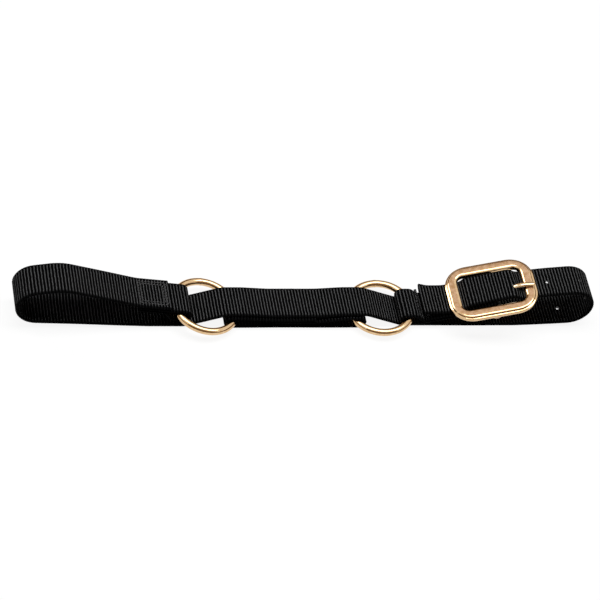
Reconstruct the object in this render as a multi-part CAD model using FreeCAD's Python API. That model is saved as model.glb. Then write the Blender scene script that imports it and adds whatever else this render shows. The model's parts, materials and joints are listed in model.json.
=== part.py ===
import FreeCAD, Part
import math
import os

# A short webbing martingale: one long strap with a loop at each end, two welded rings and a
# centre-bar buckle.  Millimetres and degrees.  +X runs along the strap towards the buckle, +Y
# across the webbing and +Z up.  The origin lies on the surface that the martingale rests on,
# midway between the rings and on the middle of the webbing.

# Webbing
webbing_width = 25.0
webbing_thickness = 2.0
layer_gap = 0.1            # between layers that are stitched or pressed together
tight_bend = 3.0           # radius of its middle line where it is pressed round an edge
soft_bend = 4.0            # where it changes level beside another layer
easy_bend = 10.0           # and where it only changes slope

# Rings
ring_inside = 38.1
ring_wire = 4.6
ring_spacing = 121.7       # from centre to centre
ring_shift = -1.2          # the rings lie a little in front of the main strap's middle

# Connector: the endless strap that holds the two rings apart
connector_slack = 0.7      # free height over and under the wire in its folds
connector_offset = -1.5    # it lies a little in front of the main strap
connector_lap = 28.0       # where its two ends are sewn over each other
lap_bend = 25.0            # radius with which the inner end rises out of the lap
middle_sag = 1.4           # of the upper layers between the rings
sag_start = 35.0           # from the origin to where they begin to sag
sag_end = 17.0             # and to where they are level again
sag_radius = 60.0

# Ring tab: the short folded strip that ties the left loop to its ring
tab_slack = 0.8
tab_height = 10.4          # of the wire in the tab's fold
tab_seam_start = 26.4      # from the ring's centre to the cut end of the main strap
tab_seam_length = 22.0     # of the sewn box
tab_closing_run = 5.0      # in which the tab's lower layer rises to the upper one

# Left loop of the main strap
left_end_radius = 14.4     # of the strap's mid-line round the far end
left_end_reach = 174.4     # from the origin to the centre of that bend
left_end_height = 19.2
left_top_run = 14.7        # from the end bend's centre to the highest place of the upper side
left_top_radius = 30.0
left_seam_radius = 19.0    # of the bend where the loop leaves the seam
left_end_lean = 10.6       # slope of the upper side next to the end
left_end_rise = 2.9        # slope of the lower side next to the end

# Middle of the main strap, over the connector and down through both rings
dive_start = 48.7          # from the origin to where the strap turns down
dive_end = 75.0            # from the origin to where it meets the ground
dive_radius = 11.0
split_gap = 0.4            # between the main strap's segments
split_clearance = 1.2      # the right segment starts this far before the chape's fold

# Buckle: a cast frame with a separate bar across its middle
frame_length = 60.6
frame_height = 46.4
frame_bar_width = 8.2
frame_thickness = 3.3
frame_corner = 16.3
frame_window_corner = 5.0
frame_step = 0.6           # the face stands in from the rim by this much
frame_step_depth = 1.5     # and the rim lies this far below the face
frame_rim_round = 0.8
frame_face_round = 0.6
frame_bevel = 0.8          # round the window
buckle_run = 50.2          # from the right ring's outer edge to the frame's middle
buckle_height = 26.7       # of the middle of its face
buckle_tilt = 16.0
buckle_shift = -0.9        # the frame lies a little in front of the strap's middle
centre_bar = 4.0
bar_depth = 5.9            # of the bar's axis under the frame's face
bar_socket = 3.2           # how far each end of the bar runs into its lug
lug_wall = 1.6             # of the lug round the bar
lug_width = 4.6            # of the lug along the bar
bend_clearance = 0.3       # between the bar and the chape's fold

# Tongue
tongue_width = 3.4
tongue_thickness = 2.4
tongue_eye = 7.6           # outside diameter of its eye
tongue_eye_width = 3.8
tongue_tip = 29.6          # from the bar's axis
tongue_fit = 0.06          # radial clearance of the eye on the bar
tongue_rest = 0.12         # between the tongue and the frame it rests on
tongue_slot = 5.6          # width of the cut in the chape for the tongue's eye
tongue_low_share = 0.45    # place on the way to the side bar where the tongue begins to level
tongue_low_depth = 3.4     # and its middle's depth below the face there
tongue_high_share = 0.85   # the same for the place just before the side bar
tongue_high_depth = -0.7
tongue_steps = 9           # cross-sections along its curve
tongue_nose = 2.0          # length of the rounded tip
tongue_nose_shape = [(0.0, 0.93), (0.45, 0.8), (0.8, 0.55), (1.0, 0.2)]  # share, size
tongue_skew = 8.0          # the tongue lies a little askew

# Right loop: chape and billet
chape_slack = 0.6
chape_shift = -1.0         # it lies a little in front of the main strap
chape_foot = 1.0           # its legs leave the ground strap this far inside the ring's outer edge
chape_wrap_run = 7.0       # from there to the end of the short leg
chape_leg_run = 8.4        # and to the end of the long leg that runs to the buckle
chape_steep = 48.0         # slope of the short leg as it comes down behind the wire
billet_tip_run = 46.8      # from the frame's middle
billet_tip_height = 13.4
billet_under_gap = 0.3     # between the frame's side bars and the billet
billet_flat_left = 19.6    # from the bar to where the billet passes under the left side bar
billet_rise_end = 16.2     # from the bar to where it has come up to the frame's face again
billet_rise_depth = 1.2    # of its middle below the face there
billet_tail_bend = 1.8     # beyond the frame, where the billet turns level
billet_flat_right = 19.0   # and under the right one
billet_shoulder = 14.6     # where it reaches the tongue and turns down
billet_shoulder_depth = 0.3
right_end_radius = 15.2
right_end_run = 57.2       # from the frame's middle to the centre of the end bend
right_end_height = 18.6
right_end_lean = 7.4
right_end_rise = 3.7
right_top_run = 16.2       # from the end bend's centre back to where the billet straightens

# Punched holes of the billet
hole_diameter = 4.0
hole_pitch = 23.0
hole_count = 5             # besides the one that holds the tongue
tongue_hole = 5.1

half_thickness = webbing_thickness / 2
half_width = webbing_width / 2
layer_step = webbing_thickness + layer_gap
ring_radius = (ring_inside + ring_wire) / 2
ring_reach = ring_spacing / 2
ring_edge = ring_reach + ring_radius + ring_wire / 2
buckle_reach = ring_edge + buckle_run


class Slope:
    """A sloping line in the XZ plane.  Its points are given along it and above it."""

    def __init__(self, x, z, degrees):
        self.x = x
        self.z = z
        self.cos = math.cos(math.radians(degrees))
        self.sin = math.sin(math.radians(degrees))

    def at(self, along, above):
        x = self.x + along * self.cos - above * self.sin
        z = self.z + along * self.sin + above * self.cos
        return x, z


def bend(corner, radius=0.0):
    """A corner of a strap's mid-line with the radius that it is bent to."""
    return corner[0], corner[1], radius


def meet(point_a, degrees_a, point_b, degrees_b):
    """Where two sloping lines of the XZ plane cross."""
    ax, az = math.cos(math.radians(degrees_a)), math.sin(math.radians(degrees_a))
    bx, bz = math.cos(math.radians(degrees_b)), math.sin(math.radians(degrees_b))
    dx, dz = point_b[0] - point_a[0], point_b[1] - point_a[1]
    run = (dx * bz - dz * bx) / (ax * bz - az * bx)
    return point_a[0] + run * ax, point_a[1] + run * az


def tangent_heading(point, centre, radius, side):
    """Heading from a point along the line that touches a circle, on the left (1) or right (-1)."""
    distance = math.dist(point, centre)
    direct = math.atan2(centre[1] - point[1], centre[0] - point[0])
    return math.degrees(direct + side * math.asin(radius / distance))


def beside(corners, side):
    """The mid-line of a layer that lies beside another one, to the left of travel by side."""
    moved = []
    for number, corner in enumerate(corners):
        before = corners[max(number - 1, 0)]
        after = corners[min(number + 1, len(corners) - 1)]
        headings = [math.atan2(q[1] - p[1], q[0] - p[0])
                    for p, q in ((before, corner), (corner, after)) if p != q]
        turn = headings[-1] - headings[0]
        mean = headings[0] + turn / 2
        reach = side / math.cos(turn / 2)
        radius = corner[2] - side * math.copysign(1.0, turn) if corner[2] else 0.0
        moved.append((corner[0] - reach * math.sin(mean), corner[1] + reach * math.cos(mean), radius))
    return moved


def touching(centre, radius, degrees, above):
    """A point of the line that slopes by degrees and touches a circle on its upper or lower side."""
    side = radius if above else -radius
    turn = math.radians(degrees)
    return centre[0] - side * math.sin(turn), centre[1] + side * math.cos(turn)


def mid_line(corners):
    """Straight runs and tangent arcs through rounded corners, as (start, end, centre, sweep)."""
    runs = []
    last = (corners[0][0], corners[0][1])
    for before, corner, after in zip(corners, corners[1:], corners[2:]):
        heading_in = math.atan2(corner[1] - before[1], corner[0] - before[0])
        heading_out = math.atan2(after[1] - corner[1], after[0] - corner[0])
        turn = (heading_out - heading_in + math.pi) % (2 * math.pi) - math.pi
        radius = corner[2]
        cut = radius * math.tan(abs(turn) / 2)
        start = (corner[0] - cut * math.cos(heading_in), corner[1] - cut * math.sin(heading_in))
        end = (corner[0] + cut * math.cos(heading_out), corner[1] + cut * math.sin(heading_out))
        side = math.copysign(radius, turn)
        centre = (start[0] - side * math.sin(heading_in), start[1] + side * math.cos(heading_in))
        if math.dist(last, start) > 1e-6:
            runs.append((last, start, None, 0.0))
        runs.append((start, end, centre, turn))
        last = end
    runs.append((last, (corners[-1][0], corners[-1][1]), None, 0.0))
    return runs


def run_length(run):
    start, end, centre, sweep = run
    if centre is None:
        return math.dist(start, end)
    return math.dist(start, centre) * abs(sweep)


def heading_at(run, share):
    """Direction of travel at a share of one run, in radians."""
    start, end, centre, sweep = run
    if centre is None:
        return math.atan2(end[1] - start[1], end[0] - start[0])
    radial = math.atan2(start[1] - centre[1], start[0] - centre[0]) + sweep * share
    return radial + math.copysign(math.pi / 2, sweep)


def place_at(run, share, side):
    """The point at a share of one run, moved to the left of travel by side."""
    start, end, centre, sweep = run
    heading = heading_at(run, share)
    if centre is None:
        x = start[0] + (end[0] - start[0]) * share
        z = start[1] + (end[1] - start[1]) * share
    else:
        radius = math.dist(start, centre)
        turn = heading - math.copysign(math.pi / 2, sweep)
        x = centre[0] + radius * math.cos(turn)
        z = centre[1] + radius * math.sin(turn)
    return x - side * math.sin(heading), z + side * math.cos(heading)


def edge_beside(run, side, y):
    """The edge that lies beside one run of the mid-line."""
    start, middle, end = [FreeCAD.Vector(p[0], y, p[1])
                          for p in (place_at(run, share, side) for share in (0.0, 0.5, 1.0))]
    if run[2] is None:
        return Part.LineSegment(start, end).toShape()
    return Part.Arc(start, middle, end).toShape()


def strap(corners, width=webbing_width, thickness=webbing_thickness, shift=0.0):
    """A flat strip of webbing that follows a mid-line in the XZ plane."""
    runs = mid_line(corners)
    y = shift - width / 2
    upper = [edge_beside(run, thickness / 2, y) for run in runs]
    lower = [edge_beside(run, -thickness / 2, y) for run in runs]
    ends = []
    for run, share in ((runs[0], 0.0), (runs[-1], 1.0)):
        left = place_at(run, share, thickness / 2)
        right = place_at(run, share, -thickness / 2)
        ends.append(Part.LineSegment(FreeCAD.Vector(left[0], y, left[1]),
                                     FreeCAD.Vector(right[0], y, right[1])).toShape())
    outline = Part.Wire(Part.__sortEdges__(upper + lower + ends))
    return Part.Face(outline).extrude(FreeCAD.Vector(0, width, 0))


def punch(corners, distance, diameter):
    """A round punch through a strap, at a distance along its mid-line."""
    for run in mid_line(corners):
        length = run_length(run)
        if distance <= length:
            break
        distance -= length
    share = distance / length
    x, z = place_at(run, share, 0.0)
    heading = heading_at(run, share)
    normal = FreeCAD.Vector(-math.sin(heading), 0, math.cos(heading))
    base = FreeCAD.Vector(x, 0, z) - normal * webbing_thickness
    return Part.makeCylinder(diameter / 2, 2 * webbing_thickness, base, normal)


def distance_to(corners, x_limit):
    """How far along a mid-line, from its start, the place lies where it first passes x_limit."""
    travelled = 0.0
    for run in mid_line(corners):
        steps = 40
        for step in range(steps):
            if place_at(run, step / steps, 0.0)[0] >= x_limit:
                return travelled + run_length(run) * step / steps
        travelled += run_length(run)
    return travelled


# How far a fold reaches towards a ring's centre: the wire curves away from the middle of the
# webbing, so the fold clears the wire at the webbing's edges.
def fold_reach(edge_distance, slack):
    return math.sqrt((ring_inside / 2) ** 2 - edge_distance ** 2) - slack


def wire_reach(edge_distance):
    """Mean distance of the wire from the ring's centre within the webbing's width."""
    return (ring_radius + math.sqrt(ring_radius ** 2 - edge_distance ** 2)) / 2


# Levels of the pile of layers, from the ground up
ground_level = half_thickness
connector_half_slot = ring_wire / 2 + connector_slack
connector_slot_level = webbing_thickness + connector_half_slot
connector_top_level = connector_slot_level + connector_half_slot + half_thickness
main_top_level = connector_top_level + layer_step
chape_half_slot = ring_wire / 2 + chape_slack
chape_low_level = ground_level + layer_step
chape_slot_level = chape_low_level + half_thickness + chape_half_slot
tab_half_slot = ring_wire / 2 + tab_slack

# Rings: each lies in the connector's fold on its inner side and in the tab's or the chape's fold
# on its outer side, which is higher, so the rings lean.
connector_edge = half_width + abs(connector_offset - ring_shift)
strap_edge = half_width + abs(ring_shift)
chape_edge = half_width + abs(chape_shift - ring_shift)
ring_hold = wire_reach(connector_edge)
ring_hold_outer = wire_reach(strap_edge)


def ring_lean(outer_level):
    rise = outer_level - connector_slot_level
    return math.degrees(math.asin(rise / (ring_hold + ring_hold_outer)))


def ring_plane(side, outer_level):
    """The plane of one ring, with its positive direction along +X."""
    lean = ring_lean(outer_level)
    centre_level = connector_slot_level + ring_hold * math.sin(math.radians(lean))
    return Slope(side * ring_reach, centre_level, side * lean)


left_plane = ring_plane(-1, tab_height)
right_plane = ring_plane(1, chape_slot_level)


def make_ring(plane):
    normal = FreeCAD.Vector(-plane.sin, 0, plane.cos)
    centre = FreeCAD.Vector(plane.x, ring_shift, plane.z)
    return Part.makeTorus(ring_radius, ring_wire / 2, centre, normal)


def sagging(level):
    """The corners of an upper layer that sags between the rings, from left to right."""
    sunk = level - middle_sag
    return [
        (-sag_start, level, sag_radius),
        (-sag_end, sunk, sag_radius),
        (sag_end, sunk, sag_radius),
        (sag_start, level, sag_radius),
    ]


def make_connector():
    """The endless strap through both rings, its ends sewn over each other inside the top side."""
    reach = fold_reach(connector_edge, connector_slack)
    far = ring_reach - reach
    inner_level = connector_top_level - middle_sag - layer_step
    radius = connector_half_slot + half_thickness
    lap = connector_lap / 2
    left_start, left_end, right_end, right_start = sagging(connector_top_level)
    corners = [
        (-lap, inner_level, 0.0),
        (lap, inner_level, lap_bend),
        (right_start[0], connector_top_level, lap_bend),
        (far + half_thickness, connector_top_level, radius),
        (far + half_thickness, ground_level, radius),
        (-far - half_thickness, ground_level, radius),
        (-far - half_thickness, connector_top_level, radius),
        left_start,
        left_end,
        (lap, connector_top_level - middle_sag, 0.0),
    ]
    return strap(corners, shift=connector_offset)


def make_ring_tab():
    """The folded strip round the left ring's wire; its legs close up and are sewn under the strap."""
    level = tab_half_slot + half_thickness
    apex = half_thickness - fold_reach(strap_edge, tab_slack)
    far_end = -(tab_seam_start + tab_seam_length)
    closed = -(ring_radius + ring_wire / 2 + tab_slack)
    corners = [
        bend(left_plane.at(far_end, level)),
        bend(left_plane.at(apex, level), level),
        bend(left_plane.at(apex, -level), level),
        bend(left_plane.at(closed, -level), soft_bend),
        bend(left_plane.at(closed - tab_closing_run, level - layer_step), soft_bend),
        bend(left_plane.at(far_end, level - layer_step)),
    ]
    return strap(corners)


# The main strap is one piece of webbing.  It bends at the rings, so it is modelled in three
# segments: the left one starts under its ring's wire and the right one inside its ring.
left_split = -ring_reach - ring_hold_outer * left_plane.cos
right_split = ring_reach + fold_reach(chape_edge, chape_slack) - webbing_thickness - split_clearance


def on_dive(x):
    """The mid-line's point between the connector's top and the ground, inside the right ring."""
    share = (x - dive_start) / (dive_end - dive_start)
    return x, main_top_level + (ground_level - main_top_level) * share


def left_loop_corners():
    """From the cut end over the seam, round the far end and back along the ground to the ring."""
    seam_level = tab_half_slot + webbing_thickness + layer_gap + half_thickness
    seam_end = left_plane.at(-(tab_seam_start + tab_seam_length), seam_level)
    centre = (-left_end_reach, left_end_height)
    far_x = -left_end_reach - left_end_radius
    high = touching(centre, left_end_radius, left_end_lean, True)
    low = touching(centre, left_end_radius, -left_end_rise, False)
    top = meet(high, left_end_lean, (left_top_run - left_end_reach, 0.0), 90.0)
    return [
        bend(left_plane.at(-tab_seam_start, seam_level)),
        bend(seam_end, left_seam_radius),
        bend(top, left_top_radius),
        bend(meet(high, left_end_lean, (far_x, 0.0), 90.0), left_end_radius),
        bend(meet(low, -left_end_rise, (far_x, 0.0), 90.0), left_end_radius),
        bend(meet(low, -left_end_rise, (0.0, ground_level), 0.0), 4 * left_end_radius),
        bend((left_split - split_gap / 2, ground_level)),
    ]


def make_middle():
    corners = [
        (left_split + split_gap / 2, ground_level, 0.0),
        (-dive_end, ground_level, dive_radius),
        (-dive_start, main_top_level, dive_radius),
        *sagging(main_top_level),
        (dive_start, main_top_level, dive_radius),
        bend(on_dive(right_split - split_gap / 2)),
    ]
    return strap(corners)


# Buckle: in its own frame, u runs along the face and v stands on it, from the middle of the face
buckle_plane = Slope(buckle_reach, buckle_height, buckle_tilt)
bar_radius = centre_bar / 2
bar_axis = (0.0, -bar_depth)
bar_x, bar_z = buckle_plane.at(*bar_axis)
chape_bend = bar_radius + bend_clearance + half_thickness
billet_bend = chape_bend + layer_step
billet_low = -frame_thickness - billet_under_gap - half_thickness
left_dip = (-billet_flat_left, billet_low)
left_rise = (-billet_rise_end, -billet_rise_depth)
shoulder = (billet_shoulder, -billet_shoulder_depth)

# The billet comes up from under the left side bar and crosses the window nearly level, over the
# chape's fold on the centre bar, to the tongue.  The chape climbs to the bar below it.
to_bar = tangent_heading(left_rise, bar_axis, billet_bend, 1)
from_bar = tangent_heading(shoulder, bar_axis, billet_bend, -1)
crown = meet(left_rise, to_bar, shoulder, from_bar)
under_dip = (left_dip[0], left_dip[1] - layer_step - bend_clearance)
chape_slope = tangent_heading(under_dip, bar_axis, chape_bend, 1)
chape_rise = Slope(bar_x, bar_z, buckle_tilt + chape_slope)


def right_loop_corners():
    """From the billet's tip through the buckle, round the far end and back to the ring."""
    under_right = buckle_plane.at(frame_length / 2 - frame_bar_width / 2, billet_low)
    centre = (buckle_reach + right_end_run, right_end_height)
    far_x = centre[0] + right_end_radius
    high = touching(centre, right_end_radius, right_end_lean, True)
    low = touching(centre, right_end_radius, right_end_rise, False)
    return [
        (buckle_reach - billet_tip_run, billet_tip_height, 0.0),
        bend(buckle_plane.at(-frame_length / 2 - billet_tail_bend, billet_low), easy_bend),
        bend(buckle_plane.at(*left_dip), soft_bend),
        bend(buckle_plane.at(*left_rise), soft_bend),
        bend(buckle_plane.at(*crown), billet_bend),
        bend(buckle_plane.at(*shoulder), tight_bend),
        bend(buckle_plane.at(billet_flat_right, billet_low), tight_bend),
        bend(under_right, easy_bend),
        bend(meet(high, right_end_lean, (centre[0] - right_top_run, 0.0), 90.0), easy_bend),
        bend(meet(high, right_end_lean, (far_x, 0.0), 90.0), right_end_radius),
        bend(meet(low, right_end_rise, (far_x, 0.0), 90.0), right_end_radius),
        bend(meet(low, right_end_rise, (0.0, ground_level), 0.0), 4 * right_end_radius),
        (dive_end, ground_level, dive_radius),
        bend(on_dive(right_split + split_gap / 2)),
    ]


# The tongue's middle line: from its eye up to the top of the frame's right side bar
bar_inner_edge = frame_length / 2 - frame_bar_width
tongue_on_bar = tongue_rest + tongue_thickness / 2
tongue_line = [
    (bar_radius + 0.2 * tongue_thickness, -bar_depth + 0.1 * tongue_thickness),
    (bar_inner_edge * tongue_low_share, -tongue_low_depth),
    (bar_inner_edge * tongue_high_share, -tongue_high_depth),
    (bar_inner_edge + frame_bevel, tongue_on_bar),
]


def askew(u):
    """How far the tongue's line has strayed across the webbing at a distance from the bar."""
    return -u * math.tan(math.radians(tongue_skew))


def on_tongue(u):
    """The point of the tongue's middle line at a distance from the bar."""
    for (u_low, v_low), (u_high, v_high) in zip(tongue_line, tongue_line[1:]):
        if u <= u_high:
            break
    level = v_low + (v_high - v_low) * (u - u_low) / (u_high - u_low)
    return FreeCAD.Vector(u, askew(u), level)


def in_buckle(shape):
    """Move a shape that was drawn flat round the bar's middle into the tilted buckle."""
    shape.rotate(FreeCAD.Vector(0, 0, 0), FreeCAD.Vector(0, 1, 0), -buckle_tilt)
    shape.translate(FreeCAD.Vector(buckle_reach, buckle_shift, buckle_height))
    return shape


def make_right_loop():
    corners = right_loop_corners()
    band = strap(corners)
    on_slope = (billet_shoulder + billet_flat_right) / 2
    first = distance_to(corners, buckle_plane.at(on_slope, 0.0)[0])
    for number in range(1, hole_count + 1):
        band = band.cut(punch(corners, first + number * hole_pitch, hole_diameter))
    start = on_tongue(billet_shoulder - 2 * webbing_thickness)
    end = on_tongue(billet_flat_right + webbing_thickness)
    bore = Part.makeCylinder(tongue_hole / 2, start.distanceToPoint(end), start, end - start)
    return band.cut(in_buckle(bore))


def make_chape():
    """One strip: from its short leg round the ring, under the billet, round the bar and back."""
    low = chape_low_level
    fold = chape_half_slot + half_thickness
    ring_top = low + 2 * fold
    apex = ring_reach + fold_reach(chape_edge, chape_slack) - half_thickness
    wire = (ring_reach + ring_radius, chape_slot_level)
    down = touching(wire, fold, -chape_steep, True)
    foot = (ring_edge - chape_foot, low + layer_step)
    dip = buckle_plane.at(*under_dip)
    climb = math.degrees(math.atan2(dip[1] - foot[1], dip[0] - foot[0]))
    legs = Slope(*foot, climb)
    upper_leg = [
        bend(foot, easy_bend),
        bend(dip, easy_bend),
        bend(chape_rise.at(-3.0 * chape_bend, chape_bend)),
    ]
    lower_leg = beside([(apex, foot[1], 0.0), *upper_leg], -layer_step)[1:]
    corners = [
        bend(legs.at(chape_wrap_run, 0.0)),
        bend(meet(down, -chape_steep, foot, climb), half_thickness + bend_clearance),
        bend(meet(down, -chape_steep, (0.0, ring_top), 0.0), fold),
        (apex, ring_top, fold),
        (apex, low, fold),
        *lower_leg[:-1],
        bend(lower_leg[-1], soft_bend),
        bend(chape_rise.at(-0.9 * chape_bend, -chape_bend), tight_bend),
        bend(chape_rise.at(chape_bend, -chape_bend), chape_bend),
        bend(chape_rise.at(chape_bend, chape_bend), chape_bend),
        upper_leg[1],
        bend(legs.at(chape_leg_run, 0.0)),
    ]
    slot_length = 4 * chape_bend
    slot = Part.makeBox(slot_length, tongue_slot, slot_length,
                        FreeCAD.Vector(-tongue_eye / 2 - 2 * bend_clearance, -tongue_slot / 2,
                                       -slot_length / 2))
    slot.rotate(FreeCAD.Vector(0, 0, 0), FreeCAD.Vector(0, 1, 0), -buckle_tilt - chape_slope)
    slot.translate(FreeCAD.Vector(bar_x, buckle_shift, bar_z))
    return strap(corners, shift=chape_shift).cut(slot)


def rounded_slab(length, height, corner, low, high):
    """A slab with rounded corners in the frame's plane, from one level to another."""
    slab = Part.makeBox(length, height, high - low, FreeCAD.Vector(-length / 2, -height / 2, low))
    upright = [edge for edge in slab.Edges if abs(edge.tangentAt(edge.FirstParameter).z) > 0.9]
    return slab.makeFillet(corner, upright)


def edges_at(shape, level):
    return [edge for edge in shape.Edges
            if abs(edge.BoundBox.ZMin - level) < 1e-4 and abs(edge.BoundBox.ZMax - level) < 1e-4]


def bar_axis_cylinder(radius, length):
    return Part.makeCylinder(radius, length, FreeCAD.Vector(0, -length / 2, -bar_depth),
                             FreeCAD.Vector(0, 1, 0))


def make_lug(side, inner_face):
    """A rounded lug under one long rail, which holds an end of the dropped bar."""
    radius = bar_radius + lug_wall
    start = inner_face if side > 0 else -inner_face - lug_width
    lug = Part.makeCylinder(radius, lug_width, FreeCAD.Vector(0, start, -bar_depth),
                            FreeCAD.Vector(0, 1, 0))
    neck_top = -frame_thickness / 2
    neck = Part.makeBox(2 * radius, lug_width, neck_top + bar_depth,
                        FreeCAD.Vector(-radius, start, -bar_depth))
    return lug.fuse(neck)


def make_frame():
    """The cast frame: a flat face with a bevelled window, standing in from a rounded rim."""
    window_length = frame_length - 2 * frame_bar_width
    window_height = frame_height - 2 * frame_bar_width
    rim = rounded_slab(frame_length, frame_height, frame_corner, -frame_thickness, -frame_step_depth)
    rim = rim.makeFillet(frame_rim_round,
                         edges_at(rim, -frame_step_depth) + edges_at(rim, -frame_thickness))
    face = rounded_slab(frame_length - 2 * frame_step, frame_height - 2 * frame_step,
                        frame_corner - frame_step, -frame_thickness + frame_rim_round, 0.0)
    face = face.makeFillet(frame_face_round, edges_at(face, 0.0))
    window = rounded_slab(window_length, window_height, frame_window_corner,
                          -2 * frame_thickness, frame_thickness)
    body = rim.fuse(face).cut(window).removeSplitter()
    inner = [edge for edge in edges_at(body, 0.0)
             if edge.BoundBox.XMax < window_length / 2 + 0.01
             and edge.BoundBox.XMin > -window_length / 2 - 0.01
             and abs(edge.BoundBox.Center.y) < window_height / 2 + 0.01]
    body = body.makeChamfer(frame_bevel, inner)
    for side in (-1, 1):
        body = body.fuse(make_lug(side, window_height / 2))
    sockets = bar_axis_cylinder(bar_radius, window_height + 2 * bar_socket)
    return in_buckle(body.removeSplitter().cut(sockets))


def make_centre_bar():
    window_height = frame_height - 2 * frame_bar_width
    return in_buckle(bar_axis_cylinder(bar_radius, window_height + 2 * bar_socket))


def oval(u, v, half_across, half_high):
    """One cross-section of the tongue."""
    ellipse = Part.Ellipse(FreeCAD.Vector(0, 0, 0), half_across, half_high)
    wire = Part.Wire(ellipse.toShape())
    wire.rotate(FreeCAD.Vector(0, 0, 0), FreeCAD.Vector(0, 0, 1), 90)
    wire.rotate(FreeCAD.Vector(0, 0, 0), FreeCAD.Vector(0, 1, 0), 90)
    wire.translate(FreeCAD.Vector(u, askew(u), v))
    return wire


def make_tongue():
    """A tapered tongue bent up from its eye, so that its tip lies on the frame's right side bar."""
    across = tongue_width / 2
    high = tongue_thickness / 2
    curve = Part.BSplineCurve()
    curve.interpolate([FreeCAD.Vector(u, 0, v) for u, v in tongue_line])
    sections = [oval(point.x, point.z, across, high) for point in curve.discretize(tongue_steps)]
    for share, size in tongue_nose_shape:
        place = tongue_tip - tongue_nose * (1 - share)
        sections.append(oval(place, tongue_on_bar, across * size, high * size))
    shank = Part.makeLoft(sections, True, True)
    eye = bar_axis_cylinder(tongue_eye / 2, tongue_eye_width)
    bore = bar_axis_cylinder(bar_radius + tongue_fit, 2 * tongue_eye_width)
    return in_buckle(eye.fuse(shank).cut(bore))


nodes = {
    "main_strap_left_loop": lambda: strap(left_loop_corners()),
    "main_strap_middle": make_middle,
    "main_strap_right_loop": make_right_loop,
    "connector_strap": make_connector,
    "ring_tab": make_ring_tab,
    "buckle_chape": make_chape,
    "ring_left": lambda: make_ring(left_plane),
    "ring_right": lambda: make_ring(right_plane),
    "buckle_frame": make_frame,
    "buckle_centre_bar": make_centre_bar,
    "buckle_tongue": make_tongue,
}

os.makedirs("parts", exist_ok=True)
for name, make in nodes.items():
    shape = make()
    shape.exportStep("parts/" + name + ".step")
    box = shape.BoundBox
    print(f"{name}: solids {len(shape.Solids)}, valid {shape.isValid()}, volume {shape.Volume:.1f},"
          f" x {box.XMin:.1f}..{box.XMax:.1f}, z {box.ZMin:.2f}..{box.ZMax:.2f}")
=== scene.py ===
import json
import math

import bmesh
import bpy
import numpy as np
from mathutils import Matrix, Vector


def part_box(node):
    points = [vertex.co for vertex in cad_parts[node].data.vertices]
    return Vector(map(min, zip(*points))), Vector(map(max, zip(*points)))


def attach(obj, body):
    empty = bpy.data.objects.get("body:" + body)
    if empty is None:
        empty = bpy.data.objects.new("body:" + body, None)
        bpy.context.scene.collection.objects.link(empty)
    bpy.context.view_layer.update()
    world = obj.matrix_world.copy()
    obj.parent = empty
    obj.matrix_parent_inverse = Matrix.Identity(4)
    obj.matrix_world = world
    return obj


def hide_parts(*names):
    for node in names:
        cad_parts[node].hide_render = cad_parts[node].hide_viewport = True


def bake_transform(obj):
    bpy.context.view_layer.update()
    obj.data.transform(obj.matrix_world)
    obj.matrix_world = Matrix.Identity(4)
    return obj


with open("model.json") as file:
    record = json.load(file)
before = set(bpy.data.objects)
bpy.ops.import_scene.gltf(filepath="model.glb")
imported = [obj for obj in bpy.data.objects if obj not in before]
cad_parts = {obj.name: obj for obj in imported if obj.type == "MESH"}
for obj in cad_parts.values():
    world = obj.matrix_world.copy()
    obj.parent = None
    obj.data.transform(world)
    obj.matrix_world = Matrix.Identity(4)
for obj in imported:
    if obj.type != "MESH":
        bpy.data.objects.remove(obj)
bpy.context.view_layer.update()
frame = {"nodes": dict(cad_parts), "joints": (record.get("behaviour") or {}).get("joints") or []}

mm = 0.001


# ---------------------------------------------------------------- studio
# The martingale lies on a white table.  One broad soft lamp hangs over it and a small one stands to
# its left.  Dark flags stand round the table, where only the polished metal shows them.
lens_turn = math.radians(-22.518)
lens_dip = math.radians(48.135)
lens_roll = math.radians(17.131)
lens_place = Vector((-0.4419, -1.0746, 1.3110))
lens_length = 156.3
table_half_side = 4.0
table_colour = (0.15, 0.15, 0.15, 1.0)
table_lift = 0.9


def new_material(name):
    material = bpy.data.materials.new(name)
    material.use_nodes = True
    return material, material.node_tree.nodes, material.node_tree.links


def flat_sheet(name, centre, across, along, facing):
    """A rectangle that faces a point, for the table and the cards."""
    half = [(-0.5, -0.5), (0.5, -0.5), (0.5, 0.5), (-0.5, 0.5)]
    mesh = bpy.data.meshes.new(name)
    mesh.from_pydata([(u * across, v * along, 0.0) for u, v in half], [], [(0, 1, 2, 3)])
    sheet = bpy.data.objects.new(name, mesh)
    sheet.location = centre
    sheet.rotation_euler = (Vector(facing) - Vector(centre)).to_track_quat("Z", "Y").to_euler()
    bpy.context.scene.collection.objects.link(sheet)
    return sheet


def light_seen(nodes, links):
    """One where a camera, glossy or clear ray looks straight at the surface."""
    path = nodes.new("ShaderNodeLightPath")
    seen = path.outputs["Is Camera Ray"]
    for ray in ("Is Glossy Ray", "Is Transmission Ray"):
        either = nodes.new("ShaderNodeMath")
        either.operation = "MAXIMUM"
        links.new(seen, either.inputs[0])
        links.new(path.outputs[ray], either.inputs[1])
        seen = either.outputs[0]
    return seen


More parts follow.
